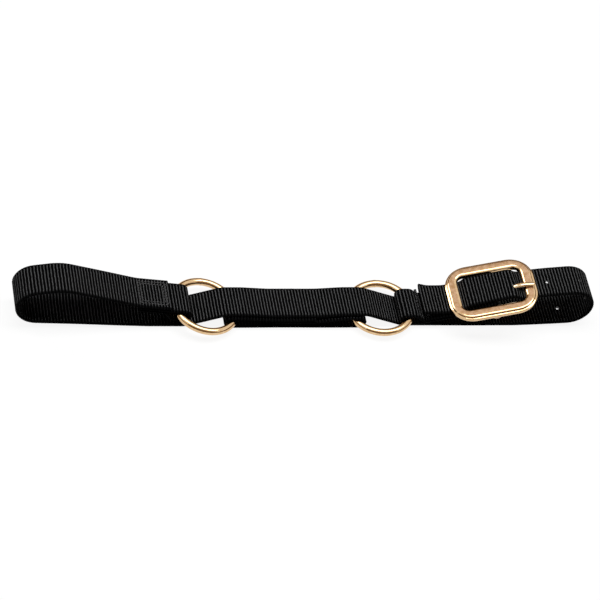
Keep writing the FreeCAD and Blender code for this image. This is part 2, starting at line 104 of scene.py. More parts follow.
table = flat_sheet("table", (0.0, 0.0, -0.0002), 2 * table_half_side, 2 * table_half_side,
                   (0.0, 0.0, 1.0))
white, nodes, links = new_material("white_table")
shade = nodes["Principled BSDF"]
shade.inputs["Base Color"].default_value = table_colour
shade.inputs["Roughness"].default_value = 0.9
shade.inputs["Specular IOR Level"].default_value = 0.1
shade.inputs["Emission Color"].default_value = (1.0, 1.0, 1.0, 1.0)
lift = nodes.new("ShaderNodeMath")
lift.operation = "MULTIPLY"
lift.inputs[1].default_value = table_lift
links.new(light_seen(nodes, links), lift.inputs[0])
links.new(lift.outputs[0], shade.inputs["Emission Strength"])
table.data.materials.append(white)

world = bpy.data.worlds.new("studio_air")
bpy.context.scene.world = world
world.use_nodes = True
nodes, links = world.node_tree.nodes, world.node_tree.links
air = nodes["Background"]
seen_strength = nodes.new("ShaderNodeMapRange")
seen_strength.inputs["To Min"].default_value = 0.03
seen_strength.inputs["To Max"].default_value = 1.0
links.new(light_seen(nodes, links), seen_strength.inputs["Value"])
links.new(seen_strength.outputs["Result"], air.inputs["Strength"])
air.inputs["Color"].default_value = (1.0, 1.0, 1.0, 1.0)


def soft_lamp(name, place, aim, across, along, power):
    lamp = bpy.data.lights.new(name, "AREA")
    lamp.shape = "RECTANGLE"
    lamp.size = across
    lamp.size_y = along
    lamp.energy = power
    holder = bpy.data.objects.new(name, lamp)
    holder.location = place
    holder.rotation_euler = (Vector(aim) - Vector(place)).to_track_quat("-Z", "Y").to_euler()
    bpy.context.scene.collection.objects.link(holder)


soft_lamp("overhead_lamp", (0.1, 0.1, 1.8), (0.1, 0.0, 0.0), 2.2, 0.7, 26.0)
soft_lamp("left_lamp", (-1.35, 1.25, 1.1), (0.0, 0.0, 0.0), 0.8, 0.6, 6.5)


flag_cloth = (0.03, 0.025, 0.02, 1.0)
flag_glow = (0.17, 0.10, 0.045, 1.0)


def dark_flag(name, place, across, along):
    """An upright card that faces the middle of the table and that only the metal shows."""
    card = flat_sheet(name, place, across, along, (0.0, 0.0, place[2]))
    card.visible_camera = False
    card.visible_diffuse = False
    card.visible_shadow = False
    material, nodes, _ = new_material(name)
    shade = nodes["Principled BSDF"]
    shade.inputs["Base Color"].default_value = flag_cloth
    shade.inputs["Emission Color"].default_value = flag_glow
    shade.inputs["Emission Strength"].default_value = 1.0
    card.data.materials.append(material)


dark_flag("front_flag", (0.0, -2.4, 1.8), 5.0, 3.5)
dark_flag("back_flag", (0.0, 2.6, 1.1), 5.0, 2.2)
dark_flag("left_flag", (-2.6, 0.0, 0.7), 5.0, 1.3)
dark_flag("right_flag", (2.6, 0.0, 0.7), 5.0, 1.3)

forward = Vector((math.sin(-lens_turn) * math.cos(lens_dip),
                  math.cos(lens_turn) * math.cos(lens_dip),
                  -math.sin(lens_dip)))
level = Vector((math.cos(lens_turn), math.sin(lens_turn), 0.0))
upward = level.cross(forward)
right_side = math.cos(lens_roll) * level + math.sin(lens_roll) * upward
top_side = -math.sin(lens_roll) * level + math.cos(lens_roll) * upward
camera = bpy.data.objects.new("camera", bpy.data.cameras.new("camera"))
camera.data.lens = lens_length
camera.data.sensor_width = 36.0
camera.data.clip_start = 0.05
camera.data.clip_end = 20.0
camera.matrix_world = Matrix((
    (right_side.x, top_side.x, -forward.x, lens_place.x),
    (right_side.y, top_side.y, -forward.y, lens_place.y),
    (right_side.z, top_side.z, -forward.z, lens_place.z),
    (0.0, 0.0, 0.0, 1.0)))
bpy.context.scene.collection.objects.link(camera)
bpy.context.scene.camera = camera
bpy.context.scene.view_settings.view_transform = "Standard"


# ---------------------------------------------------------------- rings
# Two rings of round wire, bent to a circle, butt welded and plated in pale gold.  The weld is
# ground nearly flush and leaves a faint swelling on one side.
ring_wire = 5.0 * mm
ring_steps = 220
wire_steps = 40
weld_swelling = 0.12 * mm
weld_reach = 0.8 * mm
gold_plate = (0.77, 0.55, 0.33, 1.0)
gold_plate_deep = (0.64, 0.42, 0.21, 1.0)


def mix_colour(nodes, links, factor, first, second):
    mix = nodes.new("ShaderNodeMix")
    mix.data_type = "RGBA"
    mix.inputs["A"].default_value = first
    mix.inputs["B"].default_value = second
    links.new(factor, mix.inputs["Factor"])
    return mix.outputs["Result"]


def grain(nodes, links, scale, detail):
    """Noise in the object's own coordinates."""
    noise = nodes.new("ShaderNodeTexNoise")
    noise.inputs["Scale"].default_value = scale
    noise.inputs["Detail"].default_value = detail
    place = nodes.new("ShaderNodeTexCoord")
    links.new(place.outputs["Object"], noise.inputs["Vector"])
    return noise.outputs["Fac"]


def ramp(nodes, links, value, low, high, to_low, to_high):
    span = nodes.new("ShaderNodeMapRange")
    span.inputs["From Min"].default_value = low
    span.inputs["From Max"].default_value = high
    span.inputs["To Min"].default_value = to_low
    span.inputs["To Max"].default_value = to_high
    links.new(value, span.inputs["Value"])
    return span.outputs["Result"]


def bump(nodes, links, height, strength, distance, after=None):
    node = nodes.new("ShaderNodeBump")
    node.inputs["Strength"].default_value = strength
    node.inputs["Distance"].default_value = distance
    links.new(height, node.inputs["Height"])
    if after is not None:
        links.new(after, node.inputs["Normal"])
    return node.outputs["Normal"]


def plated_metal(name, light_tone, deep_tone, smooth, rough, dents):
    """Gold plating: tone and roughness vary together in clouds, over fine dents."""
    material, nodes, links = new_material(name)
    shade = nodes["Principled BSDF"]
    shade.inputs["Metallic"].default_value = 1.0
    cloud = grain(nodes, links, 420.0, 4.0)
    depth = ramp(nodes, links, cloud, 0.32, 0.68, 0.0, 1.0)
    links.new(mix_colour(nodes, links, depth, light_tone, deep_tone), shade.inputs["Base Color"])
    links.new(ramp(nodes, links, cloud, 0.35, 0.7, smooth, rough), shade.inputs["Roughness"])
    pits = grain(nodes, links, 900.0, 2.0)
    links.new(bump(nodes, links, pits, dents, 0.1 * mm), shade.inputs["Normal"])
    return material


def link_mesh(name, vertices, faces, material):
    """A new piece in the scene, shaded smooth."""
    mesh = bpy.data.meshes.new(name)
    mesh.from_pydata(vertices, [], faces)
    mesh.polygons.foreach_set("use_smooth", [True] * len(mesh.polygons))
    mesh.materials.append(material)
    mesh.update()
    piece = bpy.data.objects.new(name, mesh)
    bpy.context.scene.collection.objects.link(piece)
    return piece


polished_gold = plated_metal("polished_gold", gold_plate, gold_plate_deep,
                             smooth=0.05, rough=0.13, dents=0.03)


def joint(name):
    return next(j for j in frame["joints"] if j["name"] == name)


def skin(first, rings, around, closed=False):
    """Four-sided faces over a run of rings of points, each ring with as many points."""
    faces = []
    for ring in range(rings if closed else rings - 1):
        here = first + ring * around
        after = first + (ring + 1) % rings * around
        for part in range(around):
            beside = (part + 1) % around
            faces.append((here + part, after + part, after + beside, here + beside))
    return faces


def make_ring(node, spin):
    """A ring of round wire about its spin axis, with a swelling where it was welded."""
    axis = Vector(joint(spin)["axis"]).normalized()
    across = Vector((0.0, 1.0, 0.0))
    along = across.cross(axis)
    centre = Vector(joint(spin)["pos_m"])
    solid = frame["nodes"][node].data
    from_axis = [axis.cross(vertex.co - centre).length for vertex in solid.vertices]
    mean = (min(from_axis) + max(from_axis)) / 2
    vertices = []
    for step in range(ring_steps):
        turn = 2 * math.pi * step / ring_steps
        from_weld = (turn - math.pi / 2) * mean
        thick = ring_wire / 2 + weld_swelling * math.exp(-(from_weld / weld_reach) ** 2)
        out = along * math.cos(turn) + across * math.sin(turn)
        for part in range(wire_steps):
            round_wire = 2 * math.pi * part / wire_steps
            vertices.append(centre + out * (mean + thick * math.cos(round_wire))
                            + axis * thick * math.sin(round_wire))
    faces = skin(0, ring_steps, wire_steps, closed=True)
    ring = link_mesh(node + "_wire", vertices, faces, polished_gold)
    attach(ring, node)
    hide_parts(node)


make_ring("ring_left", "ring_left_spin")
make_ring("ring_right", "ring_right_spin")


# ---------------------------------------------------------------- connector
# An endless strap of black nylon webbing that holds the two rings apart.  Its two ends are laid
# over each other inside the upper side and sewn.  The webbing is woven with raised ribs straight
# across it, and its edges are closed, rounded selvedges.
webbing_width = 25.0 * mm
webbing_thickness = 2.0 * mm
rib_pitch = 2.1 * mm
rib_height = 0.55 * mm
rib_samples = 8
rib_roundness = 0.8
rib_waver = 0.016            # of the pitch, by which a rib strays from straight
waver_across = 0.55          # radians in each mm across the strap, and along it
waver_along = 0.21
rib_unevenness = 0.10        # of the height, from one rib to the next
rib_bulge = 0.10 * mm        # of a rib's end at the strap's edge
selvedge = 1.7 * mm          # in which the ribs die out at each edge
selvedge_relief = 0.25       # of their height that is left at the edge itself
stitch_dent = 0.22 * mm
dent_reach = 0.8 * mm
long_sway = 0.12 * mm        # of the strap's whole width to either side
short_sway = 0.06 * mm
long_sway_run = 31 * mm
short_sway_run = 9 * mm
random_turn = (0.0, 6.3)     # radians, within which a waver or sway begins
sealed_height = 0.92         # of the strap's thickness where a cut end is melted
sealed_steps = ((0.72, 0.35 * mm), (1.0, 0.10 * mm), (1.05, 0.0))   # height, and narrowing each side
curl_run = 4.5 * mm
face_steps = 20
edge_steps = 6
fine_step = 0.1 * mm
square_turn = 1.2            # radians, past which a solid's outline turns a square corner
softening = 1.2 * mm
yarn_pitch = 0.55 * mm
yarn_dark = (0.028, 0.029, 0.030, 1.0)
# Painted sheen: a pale colour on the tops of the yarns on each rib's crest, standing in for light caught
# there.
painted_yarn_sheen = (0.182, 0.183, 0.186, 1.0)
# Painted shade: the black that the grooves between the ribs and the rounded edges are painted, for the
# shade that falls there.
painted_shade_black = (0.0003, 0.0003, 0.0004, 1.0)
edge_shade_from = 2.6         # mm in from the strap's edge, where its painted shade begins
edge_shade_full = 1.0         # and where that is full


def side_outline(node):
    """The outline of a strap's solid on its straight side, as points (x, z) in order."""
    solid = bmesh.new()
    solid.from_mesh(frame["nodes"][node].data)
    bmesh.ops.remove_doubles(solid, verts=solid.verts, dist=1e-6)
    side = min(v.co.y for v in solid.verts) + 1e-5
    beside = {}
    for edge in solid.edges:
        flat = [max(v.co.y for v in face.verts) < side for face in edge.link_faces]
        if sorted(flat) == [False, True]:
            first, second = edge.verts
            beside.setdefault(first.index, []).append(second.index)
            beside.setdefault(second.index, []).append(first.index)
    places = {v.index: (v.co.x, v.co.z) for v in solid.verts}
    solid.free()
    start = min(beside)
    walk = [start, beside[start][0]]
    while walk[-1] != start:
        one, other = beside[walk[-1]]
        walk.append(other if one == walk[-2] else one)
    return np.array([places[index] for index in walk[:-1]])


def even_points(points, count):
    """Points at equal distances along a line."""
    run = np.concatenate([[0.0], np.cumsum(np.hypot(*np.diff(points, axis=0).T))])
    share = np.linspace(0.0, run[-1], count)
    return np.stack([np.interp(share, run, points[:, 0]), np.interp(share, run, points[:, 1])], 1)


def length_of(points):
    return float(np.hypot(*np.diff(points, axis=0).T).sum())


def middle_line(node):
    """The middle of a strap's thickness from one cut end to the other."""
    outline = side_outline(node)
    step = np.roll(outline, -1, 0) - outline
    heading = np.arctan2(step[:, 1], step[:, 0])
    turn = (heading - np.roll(heading, 1) + math.pi) % (2 * math.pi) - math.pi
    square = np.abs(turn) > square_turn
    short = np.hypot(*step.T) < 1.5 * webbing_thickness
    ends = np.flatnonzero(square & np.roll(square, -1) & short)
    first, second = int(ends[0]), int(ends[1])
    one = outline[first + 1:second + 1]
    other = np.concatenate([outline[second + 1:], outline[:first + 1]])[::-1]
    one = even_points(one, int(length_of(one) / fine_step))
    other = even_points(other, int(length_of(other) / fine_step))
    back = int(webbing_thickness / fine_step)
    ahead = int(2 * webbing_thickness / fine_step)
    middle, at = [], 0
    for point in one:
        low = max(0, at - back)
        near = other[low:at + ahead]
        at = low + int(np.argmin(np.hypot(*(near - point).T)))
        middle.append((point + other[at]) / 2)
    return np.array(middle)


def soften(points, reach):
    """Round off a line's corners; its ends stay where they are."""
    spacing = length_of(points) / (len(points) - 1)
    half = int(3 * reach / spacing)
    weight = np.exp(-0.5 * (np.arange(-half, half + 1) * spacing / reach) ** 2)
    weight /= weight.sum()
    before = 2 * points[0] - points[half:0:-1]
    after = 2 * points[-1] - points[-2:-half - 2:-1]
    longer = np.concatenate([before, points, after])
    return np.stack([np.convolve(longer[:, axis], weight, "valid") for axis in (0, 1)], 1)


def strap_path(*nodes):
    """One line through several solids end to end, in steps that divide the rib pitch."""
    parts = [middle_line(node) for node in nodes]
    for number in range(1, len(parts)):
        before, after = parts[number - 1], parts[number]
        gaps = {(one, other): math.dist(before[one], after[other])
                for one in (0, -1) for other in (0, -1) if number == 1 or one == -1}
        one, other = min(gaps, key=gaps.get)
        parts[number - 1] = before if one == -1 else before[::-1]
        parts[number] = after if other == 0 else after[::-1]
    line = np.concatenate(parts)
    line = even_points(line, int(length_of(line) / fine_step))
    line = soften(line, softening)
    return even_points(line, int(length_of(line) / rib_pitch) * rib_samples + 1)


def normals_of(line):
    """The direction square to a strap's face at each step of its line."""
    ahead = np.gradient(line, axis=0)
    ahead /= np.hypot(*ahead.T)[:, None]
    return np.stack([-ahead[:, 1], ahead[:, 0]], 1)


def section():
    """A strap's cross-section: places across it, and heights from 1 on one face to -1 on the other."""
    flat = webbing_width / 2 - webbing_thickness / 2
    points = [(across, 1.0) for across in np.linspace(-flat, flat, face_steps)]
    for step in range(1, edge_steps):
        turn = math.pi / 2 - math.pi * step / edge_steps
        points.append((flat + webbing_thickness / 2 * math.cos(turn), math.sin(turn)))
    points += [(across, -1.0) for across in np.linspace(flat, -flat, face_steps)]
    for step in range(1, edge_steps):
        turn = -math.pi / 2 - math.pi * step / edge_steps
        points.append((-flat + webbing_thickness / 2 * math.cos(turn), math.sin(turn)))
    return np.array(points)


def distance_to_row(run, across, row):
    """Distance on the strap's face from each of its points to one row of stitches."""
    (x0, y0), (x1, y1) = row
    length = math.hypot(x1 - x0, y1 - y0)
    ux, uy = (x1 - x0) / length, (y1 - y0) / length
    along = np.clip((run - x0) * ux + (across - y0) * uy, 0.0, length)
    return np.hypot(run - x0 - along * ux, across - y0 - along * uy)


def rib_pattern(run, across, rng):
    """How full the ribs are at places on a strap's face, and how far they have strayed there."""
    waver = sum(rib_waver * math.sqrt(part)
                * np.sin(across / mm * waver_across * part + run / mm * waver_along / part
                         + rng.uniform(*random_turn)) for part in (1, 2, 3))
    number = run / rib_pitch + waver
    rib = np.clip(1.0 - (2.0 * (number % 1.0) - 1.0) ** 2, 0.0, 1.0) ** rib_roundness
    fullness = 1.0 + rib_unevenness * rng.standard_normal(int(run.max() / rib_pitch) + 3)
    return rib * fullness[number.astype(int).clip(0, len(fullness) - 1)], waver


def weave(name, line, middle, seed, rows=(), first_run=0.0, cut_start=True, cut_end=True,
          curl=0.0, rises=(), puckers=()):
    """A ribbed strap along a line.  Rows of stitches press its face in on both sides.  The back
    corner of its cut end may stand up in a curl, its back edge may rise at places along it, and
    it may pucker up round a hole."""
    rng = np.random.default_rng(seed)
    profile = section()
    count, around = len(line), len(profile)
    normal = normals_of(line)
    run = first_run + np.arange(count) * (rib_pitch / rib_samples)
    run_grid = np.repeat(run[:, None], around, 1)
    across = np.repeat(profile[None, :, 0], count, 0)
    side = np.repeat(profile[None, :, 1], count, 0)
    rib, waver = rib_pattern(run_grid, across, rng)
    body = np.clip((webbing_width / 2 - np.abs(across)) / selvedge, 0.0, 1.0)
    body = selvedge_relief + (1.0 - selvedge_relief) * body * body * (3.0 - 2.0 * body)
    relief = rib_height * body * (np.minimum(rib, 1.0) - 1.0)
    for row in rows:
        away = distance_to_row(run_grid, across, row)
        relief -= stitch_dent * np.exp(-(away / dent_reach) ** 2)
    thick = webbing_thickness / 2
    edge = np.abs(side) < 0.999
    height = np.where(edge, side * (thick - rib_height / 2), side * (thick + relief))
    widen = np.where(edge, rib_bulge * (rib - 0.5) * np.sign(across), 0.0)
    sway = long_sway * np.sin(run / long_sway_run + rng.uniform(*random_turn)) \
        + short_sway * np.sin(run / short_sway_run + rng.uniform(*random_turn))
    for cut, at, inward in ((cut_start, 0, 1), (cut_end, count - 1, -1)):
        if cut:
            for depth, (flatten, narrow) in enumerate(sealed_steps):
                ring = at + inward * depth
                height[ring] = side[ring] * thick * flatten * sealed_height
                widen[ring] = -np.sign(across[ring]) * narrow * (np.abs(across[ring]) / (webbing_width / 2))
    toward_back = np.clip(2 * across / webbing_width, 0.0, 1.0)
    toward_end = np.exp(-((run[-1] - run) / curl_run) ** 2)[:, None]
    upward = np.sign(normal[:, 1])[:, None]
    height = height + upward[-1] * curl * toward_end * toward_back ** 4
    for at, reach, rise in rises:
        near = np.exp(-((run - at) / reach) ** 2)[:, None]
        height = height + rise * near * upward * toward_back ** 2
    for at, beside, reach, rise in puckers:
        away = np.hypot(run_grid - at, across - beside)
        height = height + rise * np.exp(-(away / reach) ** 2) * upward
    x = line[:, None, 0] + normal[:, None, 0] * height
    z = line[:, None, 1] + normal[:, None, 1] * height
    y = middle + sway[:, None] + across + widen
    vertices = np.stack([x, y, z], 2).reshape(-1, 3)
    caps = [tuple(range(around)), tuple(reversed(range((count - 1) * around, count * around)))]
    strap = link_mesh(name, vertices.tolist(), skin(0, count, around) + caps, webbing)
    coordinates = strap.data.uv_layers.new(name="weave")
    corner = np.empty(len(strap.data.loops), np.int64)
    strap.data.loops.foreach_get("vertex_index", corner)
    places = np.stack([(run_grid + waver * rib_pitch).reshape(-1), across.reshape(-1)], 1) / mm
    coordinates.data.foreach_set("uv", places[corner].astype(np.float32).reshape(-1))
    return strap


def black_webbing():
    """Black nylon, with painted light: a painted sheen on the fine yarns of each rib's crest, and painted
    shade that keeps the grooves and the rounded edges black.
    """
    material, nodes, links = new_material("black_webbing")
    shade = nodes["Principled BSDF"]
    shade.inputs["Specular IOR Level"].default_value = 0.01
    place = nodes.new("ShaderNodeUVMap")
    place.uv_map = "weave"
    split = nodes.new("ShaderNodeSeparateXYZ")
    links.new(place.outputs["UV"], split.inputs["Vector"])

    def maths(operation, first, second=None):
        node = nodes.new("ShaderNodeMath")
        node.operation = operation
        for socket, value in ((node.inputs[0], first), (node.inputs[1], second)):
            if isinstance(value, (int, float)):
                socket.default_value = value
            elif value is not None:
                links.new(value, socket)
        return node.outputs[0]

    ribs_along = maths("DIVIDE", split.outputs["X"], rib_pitch / mm)
    offset = maths("MULTIPLY", maths("MODULO", maths("FLOOR", ribs_along), 2.0), 0.5)
    yarn = maths("ADD", maths("DIVIDE", split.outputs["Y"], yarn_pitch / mm), offset)
    yarn_height = maths("ABSOLUTE", maths("SINE", maths("MULTIPLY", yarn, math.pi)))
    cloud = ramp(nodes, links, grain(nodes, links, 900.0, 3.0), 0.3, 0.7, 0.0, 1.0)
    # Painted sheen on the tops of the yarns, varied at random in clouds.
    painted_sheen = maths("MULTIPLY", maths("ADD", cloud, 0.4),
                ramp(nodes, links, yarn_height, 0.15, 0.85, 0.25, 0.9))
    crest = mix_colour(nodes, links, painted_sheen, yarn_dark, painted_yarn_sheen)
    from_middle = maths("ABSOLUTE", maths("SUBTRACT", maths("FRACT", ribs_along), 0.5))
    from_crest = maths("MULTIPLY", from_middle, 2.0)
    across = maths("ABSOLUTE", split.outputs["Y"])
    half = webbing_width / 2 / mm
    # Painted shade: black in the grooves between the ribs and along the rounded edges.
    painted_shade = maths("MAXIMUM", ramp(nodes, links, from_crest, 0.04, 0.42, 0.0, 1.0),
                 ramp(nodes, links, across, half - edge_shade_from, half - edge_shade_full, 0.0, 0.94))
    tone = nodes.new("ShaderNodeMix")
    tone.data_type = "RGBA"
    links.new(painted_shade, tone.inputs["Factor"])
    links.new(crest, tone.inputs["A"])
    tone.inputs["B"].default_value = painted_shade_black
    links.new(tone.outputs["Result"], shade.inputs["Base Color"])
    lint = grain(nodes, links, 2600.0, 2.0)
    links.new(ramp(nodes, links, lint, 0.3, 0.75, 0.36, 0.62), shade.inputs["Roughness"])
    yarns = bump(nodes, links, yarn_height, 0.7, 0.12 * mm)
    links.new(bump(nodes, links, lint, 0.3, 0.05 * mm, yarns), shade.inputs["Normal"])
    return material


webbing = black_webbing()


thread_dark = (0.03, 0.03, 0.032, 1.0)
thread_lit = (0.11, 0.11, 0.113, 1.0)


def black_thread():
    """Bonded nylon thread: black, a little uneven in tone, with a slight shine."""
    material, nodes, links = new_material("black_thread")
    shade = nodes["Principled BSDF"]
    tone = grain(nodes, links, 1500.0, 2.0)
    links.new(mix_colour(nodes, links, tone, thread_dark, thread_lit), shade.inputs["Base Color"])
    shade.inputs["Roughness"].default_value = 0.3
    links.new(bump(nodes, links, tone, 0.4, 0.05 * mm), shade.inputs["Normal"])
    return material


thread = black_thread()
thread_radius = 0.26 * mm
thread_round = 7
stitch_length = 1.8 * mm
stitch_gap = 0.45 * mm
stitch_dip = 0.55 * mm       # of a stitch's ends into the weave
stitch_bow = 0.62 * mm       # from there up to its middle
bow_roundness = 0.6
stitch_bends = 7
knot_radius = 0.75 * mm
knot_sit = 0.6               # of its radius, from the strap's face up to the knot's middle
knot_pitch = 0.5 * mm
knot_turns = 5
knot_bends = 12
seam_inset = 3.2 * mm
lap_seam = 20.0 * mm
lap_inset = 3.0 * mm


def on_face(line, middle, run, across, lift):
    """A point over a strap's mid-line, and the direction away from its upper face there."""
    step = run * rib_samples / rib_pitch
    low = min(max(int(step), 0), len(line) - 2)
    place = line[low] + (line[low + 1] - line[low]) * (step - low)
    ahead = line[low + 1] - line[low]
    out = np.array([-ahead[1], ahead[0]]) / math.hypot(*ahead)
    place = place + out * lift
    return Vector((place[0], middle + across, place[1])), Vector((out[0], 0.0, out[1]))


def lay_thread(rail, vertices, faces):
    """A round thread along a rail of places, each with a direction that is not along the thread."""
    for bend, (place, out) in enumerate(rail):
        ahead = rail[min(bend + 1, len(rail) - 1)][0] - rail[max(bend - 1, 0)][0]
        beside = ahead.cross(out).normalized()
        over = beside.cross(ahead).normalized()
        for part in range(thread_round):
            turn = 2 * math.pi * part / thread_round
            vertices.append(place + thread_radius * (beside * math.cos(turn) + over * math.sin(turn)))
    first = len(vertices) - len(rail) * thread_round
    faces.extend(face[::-1] for face in skin(first, len(rail), thread_round))
    faces.append(tuple(reversed(range(first, first + thread_round))))
    faces.append(tuple(range(len(vertices) - thread_round, len(vertices))))


def upper_side(line, run):
    """Which of a strap's faces looks up at a place along it."""
    return 1.0 if on_face(line, 0.0, run, 0.0, 0.0)[1].z > 0 else -1.0


def sew(name, line, middle, rows, body, side, knots=()):
    """Rows of lock stitches on one face of a strap.  Each stitch bows up and dips into the weave.
    A knot is the thread wound up at the end of a row."""
    vertices, faces = [], []
    for (run0, across0), (run1, across1) in rows:
        length = math.hypot(run1 - run0, across1 - across0)
        count = max(1, round(length / (stitch_length + stitch_gap)))
        for number in range(count):
            start, stop = number / count, (number + 1) / count - stitch_gap / length
            rail = []
            for bend in range(stitch_bends):
                share = start + (stop - start) * bend / (stitch_bends - 1)
                arch = math.sin(math.pi * bend / (stitch_bends - 1)) ** bow_roundness
                lift = side * (webbing_thickness / 2 - stitch_dip + stitch_bow * arch)
                rail.append(on_face(line, middle, run0 + (run1 - run0) * share,
                                    across0 + (across1 - across0) * share, lift))
            lay_thread(rail, vertices, faces)
    for run, across in knots:
        lift = side * (webbing_thickness / 2 + knot_radius * knot_sit)
        centre, out = on_face(line, middle, run, across, lift)
        along = out.cross(Vector((0.0, 1.0, 0.0)))
        rail = []
        for bend in range(knot_turns * knot_bends + 1):
            turn = 2 * math.pi * bend / knot_bends
            around = out * math.cos(turn) + along * math.sin(turn)
            slide = (bend / knot_bends - knot_turns / 2) * knot_pitch
            rail.append((centre + around * knot_radius + Vector((0.0, slide, 0.0)), around))
        lay_thread(rail, vertices, faces)
    stitches = link_mesh(name, vertices, faces, thread)
    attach(stitches, body)


def box(start, reach, inset):
    """The four rows of a box seam, from a place along the strap."""
    left, right = start, start + reach
    front, back = -webbing_width / 2 + inset, webbing_width / 2 - inset
    return [((left, front), (right, front)), ((right, front), (right, back)),
            ((right, back), (left, back)), ((left, back), (left, front))]


def middle_of(node):
    """The middle of a strap across its width."""
    low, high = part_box(node)
    return (low[1] + high[1]) / 2


connector_line = strap_path("connector_strap")
connector = weave("connector_webbing", connector_line, middle_of("connector_strap"), 11)
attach(connector, "middle")
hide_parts("connector_strap")
inner_first = connector_line[0][1] < connector_line[-1][1]
lap_start = lap_inset if inner_first else length_of(connector_line) - lap_inset - lap_seam
sew("connector_lap_thread", connector_line, middle_of("connector_strap"),
    box(lap_start, lap_seam, seam_inset), "middle", -upper_side(connector_line, lap_start))


# ---------------------------------------------------------------- ring tab
# A short strip of the same webbing, folded round the left ring's wire.  Its two legs close up
# behind the ring and are caught in the box seam under the main strap's cut end.
tab_line = strap_path("ring_tab")
tab = weave("ring_tab_webbing", tab_line, middle_of("ring_tab"), 23)
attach(tab, "left_loop")
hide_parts("ring_tab")


# ---------------------------------------------------------------- main strap
# One strip of webbing.  Its left end is sewn down on the ring tab with one box of stitches inside
# another, which closes the left loop.  It then runs up through the left ring, along the top of the
# connector and down through the right ring, and comes back as the billet of the buckle.
seam_reach = 19.0 * mm
seam_start = 0.8 * seam_inset
seam_boxes = 2
seam_spacing = 1.9 * mm
rise_place = -152.0 * mm     # where the left loop's lower run lifts its back edge off the table
rise_reach = 22.0 * mm
edge_rise = 1.8 * mm
tongue_across = -2.2 * mm    # the tongue stands a little off the strap's middle
pucker_reach = 4.5 * mm
pucker_rise = 0.9 * mm
hole_pitch = 23.0 * mm
hole_count = 5               # besides the one that the tongue is in
hole_radius = 1.2 * mm       # left open once its edge has been melted
hole_sides = 40
tip_curl = 1.7 * mm          # of the back corner of the billet's cut end
tongue_place = 16.8 * mm     # from the buckle's middle to where the tongue comes through
tongue_hole_radius = 2.2 * mm
tongue_hole_ends = ((10.6, -1.5, -2.8), (21.0, -2.95, 1.35))    # along, across and up, in mm
buckle_tilt = math.radians(16.0)
bar_depth = 5.9 * mm
melt_dark = (0.006, 0.006, 0.007, 1.0)
melt_lit = (0.02, 0.02, 0.021, 1.0)
face_up = Vector((-math.sin(buckle_tilt), 0.0, math.cos(buckle_tilt)))
face_along = Vector((math.cos(buckle_tilt), 0.0, math.sin(buckle_tilt)))
face_centre = Vector(joint("tongue_lift")["pos_m"]) + face_up * bar_depth


def on_frame(along, across, up):
    """A place measured from the middle of the tilted buckle's face."""
    return face_centre + face_along * along + Vector((0.0, across, 0.0)) + face_up * up


main_line = strap_path("main_strap_left_loop", "main_strap_middle", "main_strap_right_loop")
if main_line[0][0] > main_line[-1][0]:
    main_line = main_line[::-1]


def sealed_edge():
    """Nylon melted smooth where a hole was cut through it."""
    material, nodes, links = new_material("sealed_edge")
    shade = nodes["Principled BSDF"]
    melt = grain(nodes, links, 1400.0, 2.0)
    links.new(mix_colour(nodes, links, melt, melt_dark, melt_lit), shade.inputs["Base Color"])
    shade.inputs["Roughness"].default_value = 0.25
    links.new(bump(nodes, links, melt, 0.3, 0.05 * mm), shade.inputs["Normal"])
    return material


melted_nylon = sealed_edge()


def punch_of(name, tool):
    """The object that a strap is cut with, lined with melted nylon."""
    mesh = bpy.data.meshes.new(name)
    tool.to_mesh(mesh)
    tool.free()
    mesh.materials.append(melted_nylon)
    punch = bpy.data.objects.new(name, mesh)
    bpy.context.scene.collection.objects.link(punch)
    return punch


def cutters(name, ends_and_radii):
    """Round punches, each from one place to another."""
    tool = bmesh.new()
    for start, end, radius in ends_and_radii:
        run = end - start
        turned = run.to_track_quat("Z", "Y").to_matrix().to_4x4()
        bmesh.ops.create_cone(tool, cap_ends=True, segments=hole_sides, radius1=radius, radius2=radius,
                              depth=run.length, matrix=Matrix.Translation((start + end) / 2) @ turned)
    return punch_of(name, tool)


def cut_out(strap, punch):
    """Cut the punches' shapes out of a strap and drop the punches."""
    cut = strap.modifiers.new("cut", "BOOLEAN")
    cut.operation = "DIFFERENCE"
    cut.solver = "EXACT"
    cut.material_mode = "TRANSFER"
    cut.object = punch
    shaped = strap.evaluated_get(bpy.context.evaluated_depsgraph_get())
    mesh = bpy.data.meshes.new_from_object(shaped)
    strap.modifiers.clear()
    strap.data = mesh
    bpy.data.objects.remove(punch)


def run_at(step):
    """How far along a strap one of its steps lies."""
    return step * rib_pitch / rib_samples


left_seam = []
for number in range(seam_boxes):
    inward = number * seam_spacing
    left_seam += box(seam_start + inward, seam_reach - 2 * inward, seam_inset + inward)
grooves = range(0, len(main_line), rib_samples)
cut_step = min(grooves, key=lambda groove: abs(main_line[groove][0]))
left_part, right_part = main_line[:cut_step + 1], main_line[cut_step:]
loop_end = int(np.argmin(left_part[:, 0]))
rise_step = loop_end + int(np.argmin(np.abs(left_part[loop_end:, 0] - rise_place)))
left_half = weave("main_strap_left_webbing", left_part, 0.0, 31, left_seam, cut_end=False,
                  rises=((run_at(rise_step), rise_reach, edge_rise),))
tongue_x = (face_centre + face_along * tongue_place).x
tongue_step = max(step for step in range(len(right_part) - 1)
                  if right_part[step][0] >= tongue_x > right_part[step + 1][0])
pucker_run = run_at(cut_step) + run_at(tongue_step) + pucker_reach / 4
right_half = weave("main_strap_right_webbing", right_part, 0.0, 31, (), run_at(cut_step),
                   cut_start=False, curl=tip_curl,
                   puckers=((pucker_run, tongue_across, pucker_reach, pucker_rise),))
right_normals = normals_of(right_part)
punches = []
